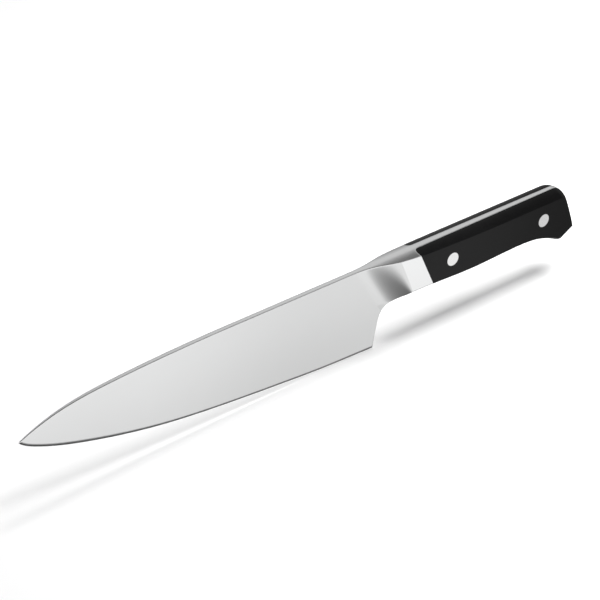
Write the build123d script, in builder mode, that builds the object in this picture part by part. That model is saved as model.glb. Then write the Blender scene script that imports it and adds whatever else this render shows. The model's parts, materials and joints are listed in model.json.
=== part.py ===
"""Chef's knife with a forged blade and a riveted full-tang handle.

One piece of steel makes the blade, the bolster and a tang as deep as the handle.
Two moulded scales lie on the flats of the tang, and two cutler's rivets, each a
headed post pressed into a headed tube, clamp them there.

Frame: +X runs from the tip to the butt, +Z from the cutting edge to the spine, and
the knife is a mirror image of itself about Y = 0.  The heel, its lowest point, is at
Z = 0, and X = 0 is half way along the knife.  Reaches are distances behind the heel
and depths are distances below the line of the spine, all in millimetres.
"""

import os
from math import atan2, cos, radians, sin, tan

from build123d import *

# ---------------------------------------------------------------- overall sizes
blade_length = 204.0  # tip to heel
handle_reach = 135.7  # heel to the rearmost point of the butt
heel_depth = 49.5  # spine to cutting edge at the heel

# ---------------------------------------------------------------- blade
tip_depth = 13.7  # the point lies this far below the line of the spine
tip_spine_angle = 27.0  # slope of the spine where it meets the point
tip_edge_angle = 50.0  # slope of the cutting edge where it meets the point
spine_curve = 120.0  # length of spine that curves down to the point
front_taper = 66.0  # length of blade that thins towards the tip; the flanks are flat behind it
tip_half = 0.50  # half thickness of the flanks at the spine line, at the tip ...
middle_half = 1.22  # ... at the end of the front taper ...
heel_half = 1.50  # ... and at the heel
edge_half = 0.35  # half thickness where the flanks meet the sharpened bevel
bevel_height = 1.10
apex_half = 0.04  # half width left at the very edge

# ---------------------------------------------------------------- choil, neck and bolster
choil_reach, choil_depth = 2.85, 33.4  # where the back of the blade starts to curl
neck_reach, neck_depth = 10.3, 25.3  # end of the curl
throat_reach, throat_depth = 23.3, 23.2  # shallowest place under the bolster
hollow_start_top = -14.0  # reach where each hollow leaves the flank, at the spine line ...
hollow_start_throat = 0.5  # ... and at the depth of the throat
hollow_end_top = 12.5  # reach where it meets the polished facet, likewise
hollow_end_throat = 21.5
rounding_top = 9.5  # length of the hollow that is rounded over in front of the facet, likewise
rounding_throat = 3.0
rounding_slope = 0.155  # slope, in plan, that is left where the rounding meets the facet
facet_reach = 33.0  # where the facets join the sides of the handle
shoulder_top = 24.3  # reach of the scales' front end, at the spine line
shoulder_lean = 23.9  # lean of that end, degrees
shoulder_radius = 2.5  # inside corner between the shoulder and the tang

# ---------------------------------------------------------------- handle
handle_half = 8.30  # half width of the handle from its middle to the butt
handle_flare = 0.85  # how much less it is at the end of the facets
facet_flare = 1.51  # how much less again at the front of the facets
crown_excess = 4.90  # how much more is the radius across the top, the underside and the butt
widest_reach = 85.0  # where the full width is reached
swell_reach, swell_depth = 59.3, 24.45  # belly of the grip
waist_reach, waist_depth = 92.0, 23.70  # narrowest place of the grip
flare_reach, flare_depth = 110.0, 25.60  # start of the hook
hook_reach, hook_depth = 124.1, 31.10  # bottom corner of the butt
hook_angle = 27.0  # slope of the underside at the hook
butt_depth = 24.7  # rear corner of the butt
butt_lean = 15.5  # lean of the butt at that corner, degrees
corner_reach = 127.0  # where the line of the butt would meet the spine
corner_radius = 7.0
rear_radius = 2.0  # rounding of the two corners at the bottom of the butt
tang_half_front = 2.05
tang_half_rear = 1.25

# ---------------------------------------------------------------- rivets
head_diameter = 7.4
head_seat = 6.3  # heads are seated this far from the middle of the knife
tube_diameter = 5.0
post_diameter = 3.2
head_clearance = 0.02  # on the radius, around the heads
post_clearance = 0.02  # on the radius, between a post and its tube
hole_clearance = 0.10  # on the radius, around the tubes
tube_gap = 0.5  # from the mouth of a tube to the head of its post
post_insertion = 7.0  # length of a post inside its tube
bore_runout = 1.0  # depth of the tube's bore past the end of the post
rivets = {"front": (46.2, 11.4), "rear": (110.0, 12.0)}  # reach and depth

# ---------------------------------------------------------------- derived places
overall_length = blade_length + handle_reach
heel_x = overall_length / 2 - handle_reach
beyond = 3.0  # how far the shaping tools reach past the knife
junction_half = handle_half - handle_flare
facet_half = junction_half - facet_flare
crown_radius = handle_half + crown_excess
tool_half = handle_half + 0.9  # half width of the tools that crown the handle
crown_rise = crown_radius - (crown_radius**2 - tool_half**2) ** 0.5


def at(reach, depth):
    """Point in the XZ plane."""
    return (heel_x + reach, heel_depth - depth)


def heading(angle):
    """Direction in a sketch, in degrees from its local X."""
    return (cos(radians(angle)), sin(radians(angle)))


def spread(depth, at_spine, at_throat):
    """Reach, at any depth, of a slanted line given at the spine and at the throat."""
    return at_spine + (at_throat - at_spine) * depth / throat_depth


# The corner of the butt stands this much further back than its rounded-off end.
rear_angle = atan2(hook_depth - butt_depth, handle_reach - hook_reach)
butt_angle = radians(90 + butt_lean)
half_turn = (butt_angle - rear_angle) / 2
rounded_off = rear_radius * (sin(rear_angle + half_turn) / cos(half_turn) - 1)

tip = at(-blade_length, tip_depth)
heel = at(0, heel_depth)
butt = at(handle_reach + rounded_off, butt_depth)
hook = at(hook_reach, hook_depth)
corner = at(corner_reach, 0)

# Slopes of the flat flanks, along the blade and down it.
flank_taper = (heel_half - middle_half) / (blade_length - front_taper)
flank_thinning = (heel_half - edge_half) / heel_depth

# Cutting edge: shares of the blade's length behind the tip and of the drop from tip to heel.
# Behind the last of them the edge is straight.
edge_shape = [
    (0.0, 0.0),
    (0.039, 0.154),
    (0.167, 0.422),
    (0.356, 0.675),
    (0.549, 0.821),
    (0.750, 0.924),
    (0.878, 0.9735),
]
# Spine towards the tip: distance back from the tip and depth.
spine_stations = [(50.0, 2.1), (16.0, 7.35)]


edge_points = [
    at((along - 1) * blade_length, tip_depth + down * (heel_depth - tip_depth))
    for along, down in edge_shape
]
run, rise = heel[0] - edge_points[-1][0], heel[1] - edge_points[-1][1]
edge_slope = (run / (run**2 + rise**2) ** 0.5, rise / (run**2 + rise**2) ** 0.5)


def edge_curve():
    """Draw the cutting edge from the tip to the heel."""
    ends = [heading(-tip_edge_angle), edge_slope]
    Spline(edge_points, tangents=ends, tangent_scalars=[1, 1])
    Line(edge_points[-1], heel)


def underside_curve():
    """Draw the underside from the throat to the hook."""
    return Spline(
        at(throat_reach, throat_depth),
        at(swell_reach, swell_depth),
        at(waist_reach, waist_depth),
        at(flare_reach, flare_depth),
        hook,
        tangents=[(1, 0), heading(-hook_angle)],
    )


def neck_curve():
    """Draw the arc under the neck, from the throat forwards to the choil's curl."""
    return TangentArc(
        at(throat_reach, throat_depth), at(neck_reach, neck_depth), tangent=(-1, 0)
    )


def butt_curve():
    """Draw the back of the butt, from its rear corner up to the line of the spine."""
    return TangentArc(butt, corner, tangent=heading(90 + butt_lean))


# ---------------------------------------------------------------- outline from the side
with BuildSketch(Plane.XZ) as outline:
    with BuildLine():
        edge_curve()
        neck = neck_curve()
        choil = TangentArc(neck @ 1, at(choil_reach, choil_depth), tangent=neck % 1)
        TangentArc(choil @ 1, heel, tangent=choil % 1)
        underside_curve()
        Line(hook, butt)
        butt_curve()
        Line(corner, at(spine_curve - blade_length, 0))
        Spline(
            at(spine_curve - blade_length, 0),
            *[at(back - blade_length, depth) for back, depth in spine_stations],
            tip,
            tangents=[(-1, 0), heading(180 + tip_spine_angle)],
        )
    make_face()
    for place, radius in ((corner, corner_radius), (butt, rear_radius), (hook, rear_radius)):
        fillet(outline.vertices().sort_by_distance((*place, 0))[0], radius)

# ---------------------------------------------------------------- tools that round the handle


def crown_section(path, outwards):
    """Section of what lies outside the crown, square to the start of a path."""
    along = path % 0
    plane = Plane(origin=path @ 0, x_dir=Vector(outwards).cross(along), z_dir=along)
    with BuildSketch(plane) as section:
        with BuildLine():
            ThreePointArc((-tool_half, -crown_rise), (0, 0), (tool_half, -crown_rise))
            Polyline(
                (tool_half, -crown_rise),
                (tool_half, beyond),
                (-tool_half, beyond),
                (-tool_half, -crown_rise),
            )
        make_face()
    return section.sketch


def shifted(point, direction, distance):
    """Point of the XZ plane, moved along a direction."""
    return (point[0] + distance * direction[0], point[1] + distance * direction[1])


with BuildPart() as top_crown:
    with BuildLine(Plane.XZ) as top_path:
        Line(at(-blade_length - beyond, 0), corner)
        butt_curve()
        Line(butt, shifted(butt, heading(butt_lean - 90), 2 * beyond))
        top_corner = top_path.vertices().sort_by_distance((corner[0], 0, corner[1]))[0]
        fillet(top_corner, corner_radius)
    sweep(crown_section(top_path.wires()[0], (0, 0, 1)), path=top_path.wires()[0])

with BuildPart() as bottom_crown:
    with BuildLine(Plane.XZ) as bottom_path:
        neck_curve()
        underside_curve()
        Line(hook, shifted(hook, heading(-hook_angle), 2 * beyond))
    sweep(crown_section(bottom_path.wires()[0], (0, 0, -1)), path=bottom_path.wires()[0])

with BuildPart() as hook_crown:
    with BuildLine(Plane.XZ) as hook_path:
        slope = ((butt[0] - hook[0]) / 2, (butt[1] - hook[1]) / 2)
        Line(shifted(hook, slope, -1), shifted(butt, slope, 1))
    sweep(crown_section(hook_path.wires()[0], (1, 0, -1)), path=hook_path.wires()[0])

# ---------------------------------------------------------------- tools that grind the left side
# They fill the space outside the knife from above its spine to below its heel.
upper, lower = -1.0, heel_depth + 1.0  # depths of that space
hollow_floor = throat_depth + 8.0  # the hollows end below the neck, in the air behind the choil
outside = -tool_half - beyond  # its far side


def flank_point(reach, depth):
    """Point, in plan, of the flat part of the flank."""
    return (heel_x + reach, flank_thinning * depth - flank_taper * reach - heel_half)


def taper_plan(depth):
    """Plan of what is ground off beside the front taper, at a depth."""
    start = flank_point(front_taper - blade_length, depth)
    end = (tip[0], (tip_half - edge_half) * depth / tip_depth - tip_half)
    front = tip[0] - beyond
    with BuildSketch(Plane.XY.offset(heel_depth - depth)) as plan:
        with BuildLine():
            TangentArc(start, end, tangent=(-1, flank_taper))
            Polyline(end, (front, end[1]), (front, outside), (start[0], outside), start)
        make_face()
    return plan.sketch


def hollow_plan(depth):
    """Plan of what is ground out of the bolster, at a depth; it runs out past the facet."""
    start = flank_point(spread(depth, hollow_start_top, hollow_start_throat), depth)
    reach = spread(depth, hollow_end_top, hollow_end_throat)
    along_facet = (reach - hollow_end_top) / (facet_reach - hollow_end_top)
    end = (heel_x + reach, -facet_half - (junction_half - facet_half) * along_facet)
    rounding = spread(depth, rounding_top, rounding_throat)
    rise = (start[1] - end[1] - rounding * rounding_slope / 2) / (end[0] - start[0])
    middle = (end[0] - rounding, start[1] - rise * (end[0] - rounding - start[0]))
    with BuildSketch(Plane.XY.offset(heel_depth - depth)) as plan:
        with BuildLine():
            hollow = TangentArc(start, middle, tangent=(1, -flank_taper))
            edge = TangentArc(middle, end, tangent=hollow % 1)
            slope = ((edge % 1).X, (edge % 1).Y)
            out = shifted(end, slope, (outside - end[1]) / slope[1])
            Polyline(end, out, (start[0], outside), start)
        make_face()
    return plan.sketch


with BuildPart() as left_flank:
    with BuildSketch(Plane.XZ):
        with BuildLine():
            Polyline(
                at(front_taper - blade_length, upper),
                at(spread(upper, hollow_start_top, hollow_start_throat), upper),
                at(spread(lower, hollow_start_top, hollow_start_throat), lower),
                at(front_taper - blade_length, lower),
                close=True,
            )
        make_face()
    extrude(amount=-outside)
    flank = Plane(
        origin=(heel_x, -heel_half, heel_depth), z_dir=(-flank_taper, -1, -flank_thinning)
    )
    split(bisect_by=flank, keep=Keep.TOP)

with BuildPart() as left_grind:
    with BuildSketch(Plane.XY.offset(heel_depth - lower)):
        back = butt[0] + beyond
        with BuildLine():
            flat = Line((back, -handle_half), (heel_x + widest_reach, -handle_half))
            side = TangentArc(flat @ 1, (heel_x + facet_reach, -junction_half), tangent=(-1, 0))
            facet = TangentArc(
                side @ 1, (heel_x + hollow_end_top, -facet_half), tangent=side % 1
            )
            Polyline(facet @ 1, (heel_x + hollow_end_top, outside), (back, outside), flat @ 0)
        make_face()
    extrude(amount=lower - upper)
    loft([taper_plan(upper), taper_plan(lower)], ruled=True)
    loft([hollow_plan(upper), hollow_plan(hollow_floor)], ruled=True)
    add(left_flank.part)

with BuildPart() as right_grind:
    mirror(left_grind.part, about=Plane.XZ)

# ---------------------------------------------------------------- tools that sharpen the edge
bevel_slope = (edge_half - apex_half) / bevel_height
bevel_run = 2 * bevel_height  # the tool reaches past the bevel, into the air

with BuildPart() as left_bevel:
    with BuildLine(Plane.XZ) as bevel_path:
        Line(shifted(tip, heading(-tip_edge_angle), -beyond), tip)
        edge_curve()
        Line(heel, shifted(heel, edge_slope, beyond))
    edge_path = bevel_path.wires()[0]
    with BuildSketch(Plane(origin=edge_path @ 0, x_dir=(0, -1, 0), z_dir=-(edge_path % 0))):
        with BuildLine():
            Polyline(
                (apex_half - bevel_slope * bevel_run, -bevel_run),
                (apex_half + bevel_slope * bevel_run, bevel_run),
                (beyond, bevel_run),
                (beyond, -bevel_run),
                close=True,
            )
        make_face()
    sweep(path=edge_path)

with BuildPart() as right_bevel:
    mirror(left_bevel.part, about=Plane.XZ)

# ---------------------------------------------------------------- seats of the scales
lean_slope = tan(radians(shoulder_lean))

with BuildPart() as left_seat:
    with BuildSketch(Plane.XY.offset(heel_depth + beyond)) as seat_plan:
        shoulder_x = heel_x + shoulder_top - beyond * lean_slope
        with BuildLine():
            Polyline(
                (shoulder_x, -tang_half_front),
                (butt[0], -tang_half_rear),
                (butt[0], -tool_half - beyond),
                (shoulder_x, -tool_half - beyond),
                close=True,
            )
        make_face()
        inside = seat_plan.vertices().sort_by_distance((shoulder_x, -tang_half_front, 0))[0]
        fillet(inside, shoulder_radius)
    extrude(
        amount=(heel_depth + 2 * beyond) / cos(radians(shoulder_lean)),
        dir=(sin(radians(shoulder_lean)), 0, -cos(radians(shoulder_lean))),
    )

with BuildPart() as right_seat:
    mirror(left_seat.part, about=Plane.XZ)

# ---------------------------------------------------------------- bores for the rivets
rivet_places = [at(*place) for place in rivets.values()]

with BuildPart() as rivet_bores:
    with BuildSketch(Plane.XZ):
        with Locations(*rivet_places):
            Circle(tube_diameter / 2 + hole_clearance)
    extrude(amount=tool_half, both=True)
    for side in (1, -1):
        with BuildSketch(Plane.XZ.offset(side * head_seat)):
            with Locations(*rivet_places):
                Circle(head_diameter / 2 + head_clearance)
        extrude(amount=side * (tool_half - head_seat))

# ---------------------------------------------------------------- blade, bolster and tang
with BuildPart() as blade:
    extrude(outline.sketch, amount=tool_half, both=True)
    for tool in (top_crown, bottom_crown, hook_crown, left_grind, right_grind):
        add(tool.part, mode=Mode.SUBTRACT)
    for tool in (left_bevel, right_bevel, left_seat, right_seat, rivet_bores):
        add(tool.part, mode=Mode.SUBTRACT)
blade.part.label = "blade"

# ---------------------------------------------------------------- scales
with BuildPart() as left_scale:
    extrude(outline.sketch, amount=tool_half, both=True)
    for tool in (top_crown, bottom_crown, hook_crown, left_grind):
        add(tool.part, mode=Mode.SUBTRACT)
    add(left_seat.part, mode=Mode.INTERSECT)
    add(rivet_bores.part, mode=Mode.SUBTRACT)
left_scale.part.label = "left_scale"

with BuildPart() as right_scale:
    mirror(left_scale.part, about=Plane.XZ)
right_scale.part.label = "right_scale"

pieces = [blade, left_scale, right_scale]

# ---------------------------------------------------------------- rivets
for name, place in zip(rivets, rivet_places):
    with BuildPart() as post:
        with BuildSketch(Plane.XZ.offset(head_seat)):
            with Locations(place):
                Circle(head_diameter / 2)
        extrude(amount=tool_half - head_seat)
        add(left_grind.part, mode=Mode.SUBTRACT)
        with BuildSketch(Plane.XZ.offset(head_seat)):
            with Locations(place):
                Circle(post_diameter / 2)
        extrude(amount=-(tube_gap + post_insertion))
    post.part.label = f"{name}_rivet_post"

    with BuildPart() as tube:
        with BuildSketch(Plane.XZ.offset(-head_seat)):
            with Locations(place):
                Circle(head_diameter / 2)
        extrude(amount=head_seat - tool_half)
        add(right_grind.part, mode=Mode.SUBTRACT)
        with BuildSketch(Plane.XZ.offset(-head_seat)):
            with Locations(place):
                Circle(tube_diameter / 2)
        extrude(amount=2 * head_seat - tube_gap)
        with BuildSketch(Plane.XZ.offset(head_seat - tube_gap)):
            with Locations(place):
                Circle(post_diameter / 2 + post_clearance)
        extrude(amount=-(post_insertion + bore_runout), mode=Mode.SUBTRACT)
    tube.part.label = f"{name}_rivet_tube"
    pieces += [post, tube]

# ---------------------------------------------------------------- write the pieces
os.makedirs("parts", exist_ok=True)
for piece in pieces:
    export_step(piece.part, f"parts/{piece.part.label}.step")
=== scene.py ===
"""Looks of a forged chef's knife with a riveted full-tang handle.

The knife stands on its cutting edge.  +X runs from the tip to the butt, +Z from the edge
to the spine, and Y = 0 is the mirror plane.  The blade, the bolster and the tang are one
forging, which is dressed here with four grinds that its maker gives it: satin flanks,
a brushed spine and tang, buffed hollows and facets, and a honed cutting edge.
All lengths are in metres.
"""

import json
import logging
from dataclasses import dataclass, field
from enum import Enum
from math import cos, radians, sin
from typing import Callable

import bpy
import numpy as np
from mathutils import Matrix, Vector

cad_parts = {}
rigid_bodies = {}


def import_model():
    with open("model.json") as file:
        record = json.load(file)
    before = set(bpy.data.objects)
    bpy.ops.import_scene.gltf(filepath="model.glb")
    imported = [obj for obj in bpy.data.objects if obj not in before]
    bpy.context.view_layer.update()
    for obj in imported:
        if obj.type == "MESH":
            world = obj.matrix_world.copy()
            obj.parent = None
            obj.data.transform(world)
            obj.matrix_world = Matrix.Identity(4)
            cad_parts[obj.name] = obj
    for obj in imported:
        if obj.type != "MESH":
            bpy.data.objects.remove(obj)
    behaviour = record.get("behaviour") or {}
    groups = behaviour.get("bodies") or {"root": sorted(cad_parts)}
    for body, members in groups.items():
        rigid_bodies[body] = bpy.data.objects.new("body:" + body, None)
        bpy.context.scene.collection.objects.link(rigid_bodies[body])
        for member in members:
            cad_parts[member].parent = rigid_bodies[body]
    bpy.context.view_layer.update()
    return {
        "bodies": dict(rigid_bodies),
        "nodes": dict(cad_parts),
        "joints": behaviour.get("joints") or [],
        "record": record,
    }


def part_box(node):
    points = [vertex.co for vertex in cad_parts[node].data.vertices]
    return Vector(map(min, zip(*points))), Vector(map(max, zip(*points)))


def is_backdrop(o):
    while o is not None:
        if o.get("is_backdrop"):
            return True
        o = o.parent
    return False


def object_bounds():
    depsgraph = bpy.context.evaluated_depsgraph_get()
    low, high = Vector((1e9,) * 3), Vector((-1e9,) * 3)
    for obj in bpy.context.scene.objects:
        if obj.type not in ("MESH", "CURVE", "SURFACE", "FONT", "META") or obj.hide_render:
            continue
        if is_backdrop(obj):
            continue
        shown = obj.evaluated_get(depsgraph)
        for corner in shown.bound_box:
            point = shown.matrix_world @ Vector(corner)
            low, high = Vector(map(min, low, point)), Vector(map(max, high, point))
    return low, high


MICROMETRE = 1e-6

log = logging.getLogger("knife")


class Side(Enum):
    """Hand that a piece of the handle lies towards."""

    LEFT = "left"
    RIGHT = "right"


class Place(Enum):
    """Place of a rivet along the handle."""

    FRONT = "front"
    REAR = "rear"


# ---------------------------------------------------------------- node helpers


class NodeSheet:
    """A node tree with short calls for adding and joining nodes."""

    def __init__(self, tree: bpy.types.NodeTree) -> None:
        """Start on a tree.

        Args:
            tree: The material's, world's or group's node tree.
        """
        self.tree = tree

    def add(self, kind: str, **values: object) -> bpy.types.Node:
        """Add a node and set its properties.

        Args:
            kind: Blender's node type, without the ShaderNode prefix.
            values: Properties of the node.

        Returns:
            The new node.
        """
        node = self.tree.nodes.new("ShaderNode" + kind)
        for name, value in values.items():
            setattr(node, name, value)
        return node

    def feed(self, source: object, socket: bpy.types.NodeSocket) -> None:
        """Join an output to an input, or set the input's own value.

        Args:
            source: Output socket or plain value.
            socket: Input that receives it.
        """
        if isinstance(source, bpy.types.NodeSocket):
            self.tree.links.new(source, socket)
        else:
            socket.default_value = source

    def math(self, operation: str, *terms: object, clamp: bool = False) -> bpy.types.NodeSocket:
        """Add one step of arithmetic.

        Args:
            operation: Blender's name of the operation.
            terms: Sockets or numbers.
            clamp: Whether the result is held between 0 and 1.

        Returns:
            The result's socket.
        """
        node = self.add("Math", operation=operation, use_clamp=clamp)
        for term, socket in zip(terms, node.inputs):
            self.feed(term, socket)
        return node.outputs[0]

    def ramp(self, value: object, low: float, high: float, start: float = 0.0,
             end: float = 1.0) -> bpy.types.NodeSocket:
        """Ease a value from one level to another.

        Args:
            value: Socket that is read.
            low: Value at which the result is start.
            high: Value at which the result is end.
            start: Result at and before low.
            end: Result at and past high.

        Returns:
            The eased value's socket.
        """
        node = self.add("MapRange", interpolation_type="SMOOTHSTEP", clamp=True)
        for source, socket in zip((value, low, high, start, end), node.inputs):
            self.feed(source, socket)
        return node.outputs[0]

    def mix(self, factor: object, first: object, second: object) -> bpy.types.NodeSocket:
        """Mix two numbers.

        Args:
            factor: Share of the second.
            first: Socket or number.
            second: Socket or number.

        Returns:
            The mixture's socket.
        """
        node = self.add("Mix", data_type="FLOAT", clamp_factor=True)
        for source, socket in zip((factor, first, second), node.inputs[0:1] + node.inputs[2:4]):
            self.feed(source, socket)
        return node.outputs[0]

    def grey(self, value: object, tint: tuple[float, float, float]) -> bpy.types.NodeSocket:
        """Turn a number into a lightly tinted grey.

        Args:
            value: Brightness.
            tint: Share of red, green and blue.

        Returns:
            The colour's socket.
        """
        node = self.add("CombineColor")
        for share, socket in zip(tint, node.inputs):
            self.feed(self.math("MULTIPLY", value, share), socket)
        return node.outputs[0]

    def profile(self, value: object, points: list[tuple[float, float]]) -> bpy.types.NodeSocket:
        """Look a value up on a curve that runs smoothly through a few points.

        Args:
            value: Socket between -1 and 1.
            points: Value and result, in order.

        Returns:
            The result's socket.
        """
        node = self.add("FloatCurve")
        curve = node.mapping.curves[0]
        node.mapping.use_clip = False
        places = [((at + 1) / 2, result) for at, result in points]
        for place in places[1:-1]:
            curve.points.new(*place)
        curve.points[0].location = places[0]
        curve.points[-1].location = places[-1]
        for point, place in zip(curve.points, places):
            point.location = place
            point.handle_type = "AUTO_CLAMPED"
        node.mapping.update()
        self.feed(self.math("MULTIPLY_ADD", value, 0.5, 0.5), node.inputs["Value"])
        return node.outputs[0]


def new_group(name: str, inputs: dict[str, float | None], outputs: list[str]) -> NodeSheet:
    """Make a shader node group with named sockets.

    Args:
        name: The group's name.
        inputs: Name of each input with its default, or None for a vector.
        outputs: Name of each number that the group puts out.

    Returns:
        The sheet of the new group, with its two end nodes in place.
    """
    tree = bpy.data.node_groups.new(name, "ShaderNodeTree")
    for key, value in inputs.items():
        kind = "NodeSocketVector" if value is None else "NodeSocketFloat"
        socket = tree.interface.new_socket(key, in_out="INPUT", socket_type=kind)
        if value is not None:
            socket.default_value = value
    for key in outputs:
        tree.interface.new_socket(key, in_out="OUTPUT", socket_type="NodeSocketFloat")
    tree.nodes.new("NodeGroupInput")
    tree.nodes.new("NodeGroupOutput")
    return NodeSheet(tree)


class Effects:
    """Shared surface effects, each a node group that is built once."""

    streak_share = 0.13  # frequency of the streaks as a share of the lines'
    small_cloud = 4.7  # frequency of the smaller clouds against the larger

    def __init__(self) -> None:
        """Build the groups."""
        self.lines = self._grinding_lines()
        self.mottle = self._mottle()
        self.grain = self._moulded_grain()

    def _grinding_lines(self) -> bpy.types.NodeTree:
        """Fine parallel lines that a belt leaves: noise drawn out along one direction.

        Returns:
            The group's tree, which puts out fine lines and broader streaks.
        """
        sheet = new_group(
            "grinding_lines",
            {"Vector": None, "Along": 60.0, "Across": 5000.0, "Lean": 0.0},
            ["Lines", "Streaks"],
        )
        nodes = sheet.tree.nodes
        source, target = nodes["Group Input"], nodes["Group Output"]
        turn = sheet.add("VectorRotate", rotation_type="Y_AXIS")
        sheet.feed(source.outputs["Vector"], turn.inputs["Vector"])
        sheet.feed(source.outputs["Lean"], turn.inputs["Angle"])
        for key, share in (("Lines", 1.0), ("Streaks", self.streak_share)):
            scale = sheet.add("CombineXYZ")
            across = sheet.math("MULTIPLY", source.outputs["Across"], share)
            sheet.feed(across, scale.inputs["X"])
            sheet.feed(across, scale.inputs["Y"])
            sheet.feed(sheet.math("MULTIPLY", source.outputs["Along"], share), scale.inputs["Z"])
            drawn = sheet.add("VectorMath", operation="MULTIPLY")
            sheet.feed(turn.outputs[0], drawn.inputs[0])
            sheet.feed(scale.outputs[0], drawn.inputs[1])
            noise = sheet.add("TexNoise", noise_dimensions="3D")
            noise.inputs["Scale"].default_value = 1.0
            noise.inputs["Detail"].default_value = 3.0
            noise.inputs["Roughness"].default_value = 0.6
            sheet.feed(drawn.outputs[0], noise.inputs["Vector"])
            sheet.feed(noise.outputs[0], target.inputs[key])
        return sheet.tree

    def _mottle(self) -> bpy.types.NodeTree:
        """Broad soft variation of a handled surface: two sizes of cloud, multiplied.

        Returns:
            The group's tree.
        """
        sheet = new_group("mottle", {"Vector": None, "Size": 30.0}, ["Mottle"])
        nodes = sheet.tree.nodes
        source, target = nodes["Group Input"], nodes["Group Output"]
        clouds = []
        for share in (1.0, self.small_cloud):
            noise = sheet.add("TexNoise", noise_dimensions="3D")
            noise.inputs["Detail"].default_value = 2.0
            sheet.feed(source.outputs["Vector"], noise.inputs["Vector"])
            sheet.feed(sheet.math("MULTIPLY", source.outputs["Size"], share), noise.inputs["Scale"])
            clouds.append(noise.outputs[0])
        sheet.feed(sheet.math("MULTIPLY", *clouds), target.inputs["Mottle"])
        return sheet.tree

    @staticmethod
    def _moulded_grain() -> bpy.types.NodeTree:
        """Faint pebbling of a moulded surface: distance to scattered cell centres.

        Returns:
            The group's tree.
        """
        sheet = new_group("moulded_grain", {"Vector": None, "Size": 2600.0}, ["Grain"])
        nodes = sheet.tree.nodes
        source, target = nodes["Group Input"], nodes["Group Output"]
        cells = sheet.add("TexVoronoi", feature="SMOOTH_F1")
        cells.inputs["Smoothness"].default_value = 0.7
        sheet.feed(source.outputs["Vector"], cells.inputs["Vector"])
        sheet.feed(source.outputs["Size"], cells.inputs["Scale"])
        sheet.feed(cells.outputs["Distance"], target.inputs["Grain"])
        return sheet.tree


class Material:
    """A node-based material under construction."""

    def __init__(self, name: str) -> None:
        """Start a material with one Principled shader.

        Args:
            name: The material's name.
        """
        self.block = bpy.data.materials.new(name)
        self.block.use_nodes = True
        self.sheet = NodeSheet(self.block.node_tree)
        self.shader = self.block.node_tree.nodes["Principled BSDF"]
        self.place = self.sheet.add("TexCoord").outputs["Object"]
        split = self.sheet.add("SeparateXYZ")
        self.sheet.feed(self.place, split.inputs[0])
        self.x, self.y, self.z = split.outputs
        facing = self.sheet.add("SeparateXYZ")
        self.sheet.feed(self.sheet.add("NewGeometry").outputs["Normal"], facing.inputs[0])
        _, self.facing_y, self.facing_z = facing.outputs

    def effect(self, tree: bpy.types.NodeTree, **values: float) -> bpy.types.Node:
        """Place a shared effect on Object coordinates.

        Args:
            tree: The effect's node group.
            values: Its inputs.

        Returns:
            The group's node.
        """
        node = self.sheet.add("Group", node_tree=tree)
        self.sheet.feed(self.place, node.inputs["Vector"])
        for key, value in values.items():
            node.inputs[key].default_value = value
        return node

    def round_edges(self, radius: float) -> bpy.types.NodeSocket:
        """Soften the creases' shading.

        Args:
            radius: Radius of the softened edge.

        Returns:
            The softened normal.
        """
        node = self.sheet.add("Bevel", samples=8)
        node.inputs["Radius"].default_value = radius
        return node.outputs[0]

    def bump(self, height: bpy.types.NodeSocket, depth: float,
             normal: bpy.types.NodeSocket | None = None) -> bpy.types.NodeSocket:
        """Raise the surface's shading by a height.

        Args:
            height: Height between 0 and 1.
            depth: Distance that a height of 1 stands for.
            normal: Normal that the height is added to.

        Returns:
            The bumped normal.
        """
        node = self.sheet.add("Bump")
        node.inputs["Distance"].default_value = depth
        self.sheet.feed(height, node.inputs["Height"])
        if normal is not None:
            self.sheet.feed(normal, node.inputs["Normal"])
        return node.outputs[0]


def dress(node: str, material: Material, frame: dict) -> None:
    """Give a CAD node a material in place of its own.

    Args:
        node: The node's name.
        material: Its finish.
    """
    piece = frame["nodes"][node]
    for slot in piece.material_slots:
        slot.material = material.block
    log.info("%s wears %s", node, material.block.name)


# ---------------------------------------------------------------- finishes


@dataclass(frozen=True)
class Brushing:
    """Direction and fineness of the lines that a belt leaves."""

    along: float
    across: float
    lean: float = 0.0

    def inputs(self) -> dict[str, float]:
        """Name the values as the inputs of the grinding lines.

        Returns:
            The value of each input.
        """
        return {"Along": self.along, "Across": self.across, "Lean": self.lean}


@dataclass(frozen=True)
class Grind:
    """How one area of the steel is finished."""

    brightness: float
    roughness: float
    line_depth: float


@dataclass(frozen=True)
class ForgedSteel:
    """Finishes of the forging: flank, spine, hollow, facet and honed edge."""

    flank: Grind = Grind(0.745, 0.27, 0.0)
    spine: Grind = Grind(0.74, 0.30, 0.04e-6)
    hollow: Grind = Grind(0.78, 0.12, 0.02e-6)
    facet: Grind = Grind(0.89, 0.12, 0.01e-6)
    # The honed bevel is coloured darker, partly for its grind and partly as painted shade for the
    # dark that the downward-facing bevel reflects.
    honed: Grind = Grind(0.62, 0.20, 0.05e-6)
    tint: tuple[float, float, float] = (0.995, 1.0, 1.0)
    line_contrast: float = 0.008
    mottle_contrast: float = 0.03
    tip_painted_sheen: float = 0.17  # painted sheen: how much brighter the flank's colour is made at the tip than at the heel
    edge_painted_shade: float = 0.10  # painted shade: how much darker the flank's colour is made at the edge than at the spine
    rough_variation: float = 0.05
    mottle_size: float = 26.0
    side_lines: Brushing = Brushing(70.0, 5200.0)
    top_lines: Brushing = Brushing(90.0, 3800.0, radians(38))
    crease_radius: float = 0.9e-3


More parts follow.
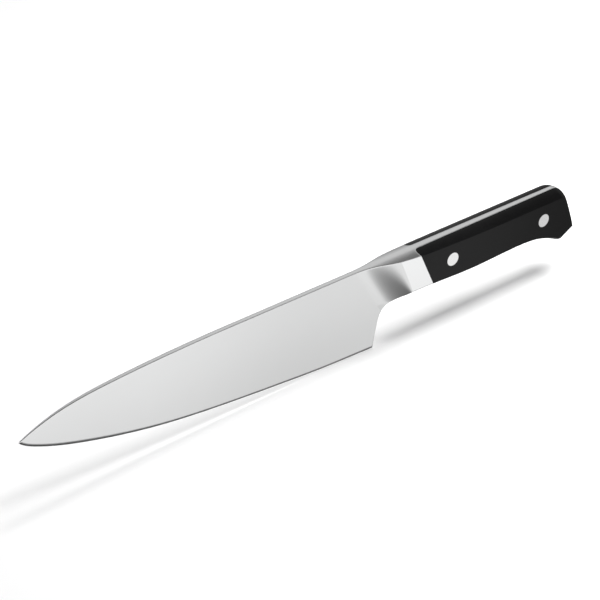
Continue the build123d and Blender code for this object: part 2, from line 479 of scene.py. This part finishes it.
@dataclass(frozen=True)
class MouldedBlack:
    """Finish of the black moulded scales."""

    brightness: float = 0.0030
    roughness: float = 0.38
    # Painted sheen: the specular level falls from the front of the scales to their rear, darkening
    # the rear as shade would.
    front_painted_sheen: float = 0.16
    rear_painted_sheen: float = 0.05
    tint: tuple[float, float, float] = (1.0, 1.0, 1.02)
    bright_range: tuple[float, float] = (0.8, 0.8)  # factor's gain with the mottle, and its base
    rough_range: tuple[float, float] = (0.3, 0.92)  # likewise
    mottle_size: float = 45.0
    grain_size: float = 2600.0
    grain_depth: float = 2.0e-6
    edge_radius: float = 0.35e-3


@dataclass(frozen=True)
class RivetSteel:
    """Finish of the rivet heads, ground flush with the scales."""

    # Painted reflection: both rivets are the same steel; the rear one is coloured darker because it
    # reflects less light.
    front_brightness: float = 0.83
    rear_brightness: float = 0.62
    roughness: float = 0.20
    tint: tuple[float, float, float] = (1.0, 1.0, 0.995)
    lines: Brushing = Brushing(160.0, 6000.0, radians(64))
    line_contrast: float = 0.08
    rough_variation: float = 0.4
    line_depth: float = 0.10e-6
    rim_shade: float = 0.35
    rim_width: float = 0.28e-3


# ---------------------------------------------------------------- the knife


@dataclass
class Forging:
    """The blade, bolster and tang, with the lines where one grind gives way to the next.

    Reaches are distances behind the heel, depths are distances below the spine.
    """

    effects: Effects
    finish: ForgedSteel = field(default_factory=ForgedSteel)
    throat_depth: float = 23.2e-3
    hollow_start_top: float = -14.0e-3
    hollow_start_throat: float = 0.5e-3
    hollow_end_top: float = 12.5e-3
    hollow_end_throat: float = 21.5e-3
    steepest_top: float = -2.0e-3  # where the hollow widens fastest
    steepest_throat: float = 20.5e-3
    steepest_slope: tuple[float, float] = (0.17, 0.54)  # and how fast, at the spine and the throat
    facet_slope: float = 0.09
    crown_radius: float = 13.2e-3
    rim: tuple[float, float] = (0.2e-3, 1.0e-3)  # below the crown, where the rounded crease fades
    flank_taper: float = 0.002
    flank_thinning: float = 0.0232
    blade_length: float = 204.0e-3  # from the tip to the heel
    top_limits: tuple[float, float] = (0.62, 0.80)  # upward part of a normal, side to top
    side_limits: tuple[float, float] = (0.70, 0.80)  # sideways part of it, edge-on to side
    honed_limits: tuple[float, float] = (0.12, 0.20)  # downward part of it, flank to bevel
    honed_reach: tuple[float, float] = (-0.5e-3, -3e-3)  # the bevel fades in ahead of the heel
    hollow_fade: tuple[float, float] = (-2e-3, 8e-3)  # about the hollow's front line
    facet_fade: tuple[float, float] = (-0.2e-3, 0.3e-3)  # about the facet's front line
    fair_start: tuple[float, float] = (0.0, 1e-3)  # the faired normal comes in here ...
    fair_end: tuple[float, float] = (0.8e-3, 0.0)  # ... and goes out behind the facet's line
    painted_sheen_span: tuple[float, float] = (-0.15, -0.75)  # shares of the blade over which the painted sheen grows

    def material(self) -> Material:
        """Build the steel.

        Returns:
            The forging's material.
        """
        low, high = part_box("blade")
        made = Material("ground_steel")
        sheet = made.sheet
        reach = sheet.math("SUBTRACT", made.x, low.x + self.blade_length)
        depth = sheet.math("SUBTRACT", high.z, made.z)

        top_facing = sheet.ramp(made.facing_z, *self.top_limits)
        side_facing = sheet.ramp(sheet.math("ABSOLUTE", made.facing_y), *self.side_limits)

        def behind(start_top: float, start_throat: float) -> bpy.types.NodeSocket:
            """Measure how far behind a slanted line each point lies.

            Args:
                start_top: The line's reach at the spine.
                start_throat: Its reach at the depth of the throat.

            Returns:
                The distance's socket.
            """
            slope = (start_throat - start_top) / self.throat_depth
            line = sheet.math("MULTIPLY_ADD", depth, slope, start_top)
            return sheet.math("SUBTRACT", reach, line)

        in_hollow = sheet.ramp(behind(self.hollow_start_top, self.hollow_start_throat),
                               *self.hollow_fade)
        in_facet = sheet.ramp(behind(self.hollow_end_top, self.hollow_end_throat),
                              *self.facet_fade)
        honed = sheet.math(
            "MULTIPLY",
            sheet.ramp(sheet.math("MULTIPLY", made.facing_z, -1.0), *self.honed_limits),
            sheet.ramp(reach, *self.honed_reach),
        )

        def blend(name: str) -> bpy.types.NodeSocket:
            """Pass one property of the finish from grind to grind over the forging.

            Args:
                name: The property's name in Grind.

            Returns:
                The property's socket.
            """
            finish = self.finish
            level = sheet.mix(in_hollow, getattr(finish.flank, name), getattr(finish.hollow, name))
            level = sheet.mix(in_facet, level, getattr(finish.facet, name))
            level = sheet.mix(honed, level, getattr(finish.honed, name))
            sides = sheet.math("MAXIMUM", side_facing, honed)
            level = sheet.mix(sides, getattr(finish.spine, name), level)
            return sheet.mix(top_facing, level, getattr(finish.spine, name))

        across = made.effect(self.effects.lines, **self.finish.side_lines.inputs())
        leaning = made.effect(self.effects.lines, **self.finish.top_lines.inputs())
        lines = sheet.mix(top_facing, across.outputs["Lines"], leaning.outputs["Lines"])
        streaks = sheet.mix(top_facing, across.outputs["Streaks"], leaning.outputs["Streaks"])
        mottle = made.effect(self.effects.mottle, Size=self.finish.mottle_size).outputs["Mottle"]

        shade = sheet.math("MULTIPLY_ADD", streaks, self.finish.line_contrast,
                           1.0 - self.finish.line_contrast / 2)
        cloud = sheet.math("MULTIPLY_ADD", mottle, self.finish.mottle_contrast,
                           1.0 - self.finish.mottle_contrast / 4)
        # Painted sheen and shade: on the sides, the steel's colour is made brighter towards the tip
        # and darker towards the edge, standing in for how its reflection changes over the blade.
        first, last = (share * self.blade_length for share in self.painted_sheen_span)
        painted_sheen_to_tip = sheet.ramp(reach, first, last, 0.0, self.finish.tip_painted_sheen)
        painted_shade_to_edge = sheet.ramp(depth, 0.0, high.z - low.z, 0.0, self.finish.edge_painted_shade)
        gain = sheet.math("SUBTRACT", sheet.math("ADD", 1.0, painted_sheen_to_tip), painted_shade_to_edge)
        shade = sheet.math("MULTIPLY", shade, sheet.mix(side_facing, 1.0, gain))
        shade = sheet.math("MULTIPLY", shade, cloud)
        brightness = sheet.math("MULTIPLY", blend("brightness"), shade)
        rough = sheet.math("MULTIPLY_ADD", lines, self.finish.rough_variation,
                           1.0 - self.finish.rough_variation / 2)
        rough = sheet.math("MULTIPLY", blend("roughness"), rough)
        micrometres = sheet.math("MULTIPLY", blend("line_depth"), 1.0 / MICROMETRE)
        height = sheet.math("MULTIPLY", lines, micrometres)

        made.shader.inputs["Metallic"].default_value = 1.0
        sheet.feed(sheet.grey(brightness, self.finish.tint), made.shader.inputs["Base Color"])
        sheet.feed(rough, made.shader.inputs["Roughness"])
        soft = made.round_edges(self.finish.crease_radius)
        soft = self.fair_hollow(made, soft, behind, depth, side_facing)
        sheet.feed(made.bump(height, MICROMETRE, soft), made.shader.inputs["Normal"])
        return made

    def fair_hollow(self, made: Material, normal: bpy.types.NodeSocket,
                    behind: Callable[[float, float], bpy.types.NodeSocket],
                    depth: bpy.types.NodeSocket,
                    side_facing: bpy.types.NodeSocket) -> bpy.types.NodeSocket:
        """Fair the shading of the hollows, whose mesh is coarse.

        The hollow widens slowly at first, fastest along a slanted line, and eases into the
        facet behind it.  The two sides are alike, so the normal's Y keeps its sign.

        Args:
            made: The forging's material.
            normal: Normal of everything else.
            behind: Measures how far behind a slanted line a point lies.
            depth: Distance below the spine.
            side_facing: Mask of the surfaces that face sideways.

        Returns:
            The normal with the hollows faired.
        """
        sheet = made.sheet

        def share(first: tuple[float, float], last: tuple[float, float]) -> bpy.types.NodeSocket:
            """Ease from one slanted line to another.

            Args:
                first: Reaches of the line where the share is 0, at spine and throat.
                last: Reaches of the line where it is 1.

            Returns:
                The share's socket.
            """
            passed, left = behind(*first), behind(*last)
            way = sheet.math("SUBTRACT", passed, left)
            return sheet.ramp(sheet.math("DIVIDE", passed, way), 0.0, 1.0)

        start = (self.hollow_start_top, self.hollow_start_throat)
        steepest = (self.steepest_top, self.steepest_throat)
        end = (self.hollow_end_top, self.hollow_end_throat)
        down = sheet.math("DIVIDE", depth, self.throat_depth)
        most = sheet.mix(down, *self.steepest_slope)
        slope = sheet.math("MULTIPLY_ADD", share(start, steepest),
                           sheet.math("SUBTRACT", most, -self.flank_taper), self.flank_taper)
        slope = sheet.mix(share(steepest, end), slope, self.facet_slope)
        fair = sheet.add("CombineXYZ")
        sheet.feed(sheet.math("MULTIPLY", slope, -1.0), fair.inputs["X"])
        sheet.feed(sheet.math("SIGN", made.facing_y), fair.inputs["Y"])
        lean = (self.hollow_start_throat - self.hollow_start_top) / self.throat_depth
        sheet.feed(sheet.math("MULTIPLY_ADD", slope, -lean, -self.flank_thinning),
                   fair.inputs["Z"])
        unit = sheet.add("VectorMath", operation="NORMALIZE")
        sheet.feed(fair.outputs[0], unit.inputs[0])
        inside = sheet.math("MULTIPLY", sheet.ramp(behind(*start), *self.fair_start),
                            sheet.ramp(behind(*end), *self.fair_end))
        crown = sheet.math("MULTIPLY", sheet.math("MULTIPLY", made.y, made.y),
                           0.5 / self.crown_radius)
        below_crown = sheet.math("SUBTRACT", depth, crown)
        inside = sheet.math("MULTIPLY", inside, sheet.ramp(below_crown, *self.rim))
        inside = sheet.math("MULTIPLY", inside, side_facing)
        # Inputs 4 and 5 and output 1 of the node are its vectors.
        mixed = sheet.add("Mix", data_type="VECTOR")
        sheet.feed(inside, mixed.inputs[0])
        sheet.feed(normal, mixed.inputs[4])
        sheet.feed(unit.outputs[0], mixed.inputs[5])
        return mixed.outputs[1]

    def build(self, frame: dict) -> None:
        """Dress the forging.
        """
        dress("blade", self.material(), frame)


@dataclass
class Scales:
    """The two moulded slabs of the handle."""

    effects: Effects
    finish: MouldedBlack = field(default_factory=MouldedBlack)

    def material(self) -> Material:
        """Build the moulded black.

        Returns:
            The scales' material.
        """
        made = Material("moulded_black")
        sheet, finish = made.sheet, self.finish
        mottle = made.effect(self.effects.mottle, Size=finish.mottle_size).outputs["Mottle"]
        grain = made.effect(self.effects.grain, Size=finish.grain_size).outputs["Grain"]
        brightness = sheet.math("MULTIPLY", finish.brightness,
                                sheet.math("MULTIPLY_ADD", mottle, *finish.bright_range))
        sheet.feed(sheet.grey(brightness, finish.tint), made.shader.inputs["Base Color"])
        rough = sheet.math("MULTIPLY", finish.roughness,
                           sheet.math("MULTIPLY_ADD", mottle, *finish.rough_range))
        sheet.feed(rough, made.shader.inputs["Roughness"])
        low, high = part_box("left_scale")
        # Painted sheen: the specular level fades towards the rear of the scales.
        painted_sheen_level = sheet.ramp(made.x, low.x, high.x, finish.front_painted_sheen, finish.rear_painted_sheen)
        sheet.feed(painted_sheen_level, made.shader.inputs["Specular IOR Level"])
        soft = made.round_edges(finish.edge_radius)
        sheet.feed(made.bump(grain, finish.grain_depth, soft), made.shader.inputs["Normal"])
        return made

    def build(self, frame: dict) -> None:
        """Dress both scales.
        """
        made = self.material()
        for side in Side:
            dress(f"{side.value}_scale", made, frame)


@dataclass
class Rivets:
    """The two cutler's rivets, each a headed post pressed into a headed tube."""

    effects: Effects
    finish: RivetSteel = field(default_factory=RivetSteel)

    def material(self, place: Place) -> Material:
        """Build the steel of one rivet, with the ground ring round its heads and its own level of
        painted reflection.

        Args:
            place: Which rivet.

        Returns:
            The rivet's material.
        """
        low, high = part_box(f"{place.value}_rivet_post")
        made = Material(f"{place.value}_rivet_steel_painted_reflection")
        sheet, finish = made.sheet, self.finish
        centre_x, centre_z = (low.x + high.x) / 2, (low.z + high.z) / 2
        radius = (high.z - low.z) / 2
        off_x = sheet.math("SUBTRACT", made.x, centre_x)
        off_z = sheet.math("SUBTRACT", made.z, centre_z)
        squares = sheet.math("ADD", sheet.math("MULTIPLY", off_x, off_x),
                             sheet.math("MULTIPLY", off_z, off_z))
        off = sheet.math("SQRT", squares)
        rim = sheet.ramp(off, radius - finish.rim_width, radius, 0.0, 1.0)
        lines = made.effect(self.effects.lines, **finish.lines.inputs())
        shade = sheet.math("MULTIPLY_ADD", lines.outputs["Streaks"], finish.line_contrast,
                           1.0 - finish.line_contrast / 2)
        # Painted reflection: each rivet gets its own level, the rear one darker, standing in for
        # the light that it reflects.
        brightness = getattr(finish, f"{place.value}_brightness")
        level = sheet.math("MULTIPLY", sheet.math("MULTIPLY", brightness, shade),
                           sheet.math("MULTIPLY_ADD", rim, -finish.rim_shade, 1.0))
        made.shader.inputs["Metallic"].default_value = 1.0
        sheet.feed(sheet.grey(level, finish.tint), made.shader.inputs["Base Color"])
        fine = lines.outputs["Lines"]
        rough = sheet.math("MULTIPLY_ADD", fine, finish.rough_variation,
                           1.0 - finish.rough_variation / 2)
        rough = sheet.math("MULTIPLY", finish.roughness, rough)
        sheet.feed(rough, made.shader.inputs["Roughness"])
        sheet.feed(made.bump(fine, finish.line_depth), made.shader.inputs["Normal"])
        return made

    def build(self, frame: dict) -> None:
        """Dress the rivets.
        """
        for place in Place:
            made = self.material(place)
            for half in ("post", "tube"):
                dress(f"{place.value}_rivet_{half}", made, frame)


# ---------------------------------------------------------------- studio


@dataclass(frozen=True)
class Lamp:
    """A soft rectangular lamp that faces a point of the floor."""

    name: str
    place: tuple[float, float, float]
    length: float
    width: float
    watts: float
    target: tuple[float, float, float]


@dataclass
class Studio:
    """Pale floor, soft light and the camera."""

    floor_size: float = 8.0
    floor_points: int = 9
    floor_white: float = 0.86
    floor_roughness: float = 0.9
    lamps: tuple[Lamp, ...] = (
        Lamp("top_softbox", (0.40, -0.03, 0.75), 0.6, 0.45, 10.0, (0.40, -0.03, 0.0)),
        Lamp("end_softbox", (0.60, -0.05, 0.10), 0.2, 0.2, 2.0, (0.10, 0.0, 0.0)),
    )
    azimuth: float = -38.52
    elevation: float = 32.49
    roll: float = -0.25
    lens: float = 112.36
    distance: float = 0.8958
    aim: tuple[float, float, float] = (-0.0121, 0.0, 0.0469)
    sensor: float = 36.0
    far: float = 50.0

    def floor(self) -> None:
        """Lay the floor: a flat grid, each point at (size * u, size * v, 0)."""
        low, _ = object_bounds()
        steps = np.linspace(-0.5, 0.5, self.floor_points) * self.floor_size
        across, along = np.meshgrid(steps, steps)
        points = np.stack([across, along, np.full_like(across, low.z)], axis=-1).reshape(-1, 3)
        count = len(steps)
        corner = (np.arange(count - 1)[:, None] * count + np.arange(count - 1)).reshape(-1)
        faces = np.stack([corner, corner + 1, corner + count + 1, corner + count], axis=1)
        mesh = bpy.data.meshes.new("floor")
        mesh.from_pydata(points.tolist(), [], faces.tolist())
        piece = bpy.data.objects.new("floor", mesh)
        bpy.context.scene.collection.objects.link(piece)
        made = Material("floor_white")
        white = self.floor_white
        made.shader.inputs["Base Color"].default_value = (white, white, white, 1.0)
        made.shader.inputs["Roughness"].default_value = self.floor_roughness
        made.shader.inputs["Specular IOR Level"].default_value = 0.0
        mesh.materials.append(made.block)
        piece.visible_glossy = False
        piece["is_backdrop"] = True

    def light(self) -> None:
        """Hang the lamps; the steel does not mirror them, only the room."""
        for lamp in self.lamps:
            data = bpy.data.lights.new(lamp.name, "AREA")
            data.shape = "RECTANGLE"
            data.size, data.size_y, data.energy = lamp.length, lamp.width, lamp.watts
            piece = bpy.data.objects.new(lamp.name, data)
            piece.location = lamp.place
            facing = Vector(lamp.target) - Vector(lamp.place)
            piece.rotation_euler = facing.to_track_quat("-Z", "Y").to_euler()
            piece.visible_glossy = False
            bpy.context.scene.collection.objects.link(piece)

    def surroundings(self) -> None:
        """Make the room that the steel reflects: bright walls, dim overhead and underfoot."""
        world = bpy.data.worlds.new("room")
        world.use_nodes = True
        bpy.context.scene.world = world
        sheet = NodeSheet(world.node_tree)
        split = sheet.add("SeparateXYZ")
        sheet.feed(sheet.add("TexCoord").outputs["Generated"], split.inputs[0])
        under = [(-1.0, 0.06), (-0.95, 0.12), (-0.87, 0.22), (-0.81, 0.31), (-0.744, 0.45),
                 (-0.674, 0.72), (-0.60, 1.0)]
        front = sheet.profile(split.outputs[2], [*under, (0.40, 1.0), (0.60, 0.45), (0.75, 0.12),
                                                 (1.0, 0.10)])
        back = sheet.profile(split.outputs[2], [*under, (-0.1, 0.36), (0.3, 0.62), (0.568, 0.86),
                                                (0.70, 0.55), (0.82, 0.15), (1.0, 0.10)])
        behind = sheet.ramp(split.outputs[1], -0.15, 0.25)
        level = sheet.mix(behind, front, back)
        background = world.node_tree.nodes["Background"]
        sheet.feed(sheet.grey(level, (1.0, 1.0, 1.0)), background.inputs["Color"])

    def camera(self) -> None:
        """Set up the camera: a long lens, turned about the aim point."""
        turn, rise = radians(self.azimuth), radians(self.elevation)
        back = Vector((sin(turn) * cos(rise), -cos(turn) * cos(rise), sin(rise)))
        right = Vector((cos(turn), sin(turn), 0.0))
        axes = Matrix((right, back.cross(right), back)).transposed()
        data = bpy.data.cameras.new("camera")
        data.lens = self.lens
        data.sensor_width = self.sensor
        data.clip_end = self.far
        camera = bpy.data.objects.new("camera", data)
        spin = Matrix.Rotation(radians(self.roll), 3, "Z")
        place = Vector(self.aim) + back * self.distance
        camera.matrix_world = Matrix.Translation(place) @ (axes @ spin).to_4x4()
        bpy.context.scene.collection.objects.link(camera)
        bpy.context.scene.camera = camera

    def build(self) -> None:
        """Set the studio up."""
        bpy.context.scene.view_settings.view_transform = "Standard"
        self.camera()
        self.floor()
        self.light()
        self.surroundings()


def main() -> None:
    """Dress the knife and set up its studio."""
    logging.basicConfig(level=logging.INFO, format="%(message)s")
    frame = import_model()
    Studio().build()
    effects = Effects()
    for assembly in (Forging(effects), Scales(effects), Rivets(effects)):
        assembly.build(frame)


if __name__ == "__main__":
    main()
